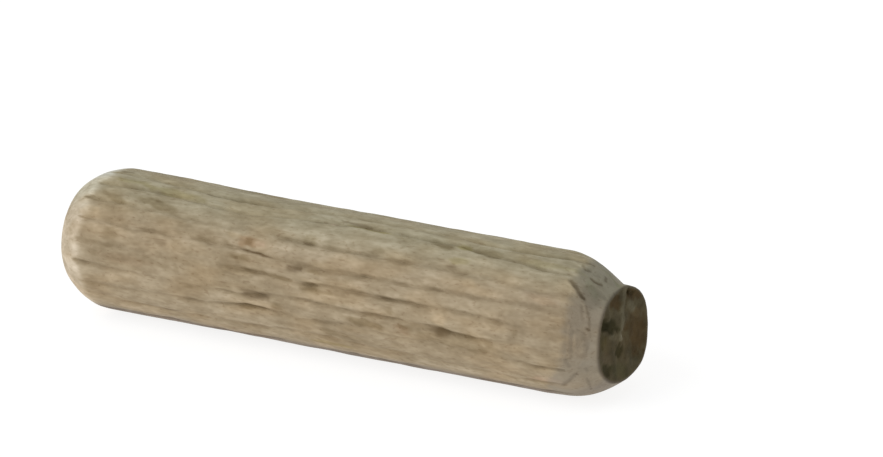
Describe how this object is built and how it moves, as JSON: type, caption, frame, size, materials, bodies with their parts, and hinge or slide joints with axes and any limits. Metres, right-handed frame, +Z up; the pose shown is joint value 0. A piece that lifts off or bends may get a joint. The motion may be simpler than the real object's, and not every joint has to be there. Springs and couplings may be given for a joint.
{
  "type": "dowel pin",
  "caption": "Straight fluted wooden dowel pin with crowned ends, pressed and glued into drilled holes to join two boards.",
  "frame": {"origin": "on the pin's axis at half its length; the lands the pin lies on are 4 mm below", "axes": "+X along the pin's axis towards its sawn end, +Z up from the surface the pin lies on"},
  "size_m": [0.035, 0.008, 0.008],
  "materials": {
    "beech": "raw pressed beech, matt, with long dark flutes, flecks and darker end grain"
  },
  "bodies": {
    "root": {"dowel_pin": "beech"}
  },
  "joints": []
}
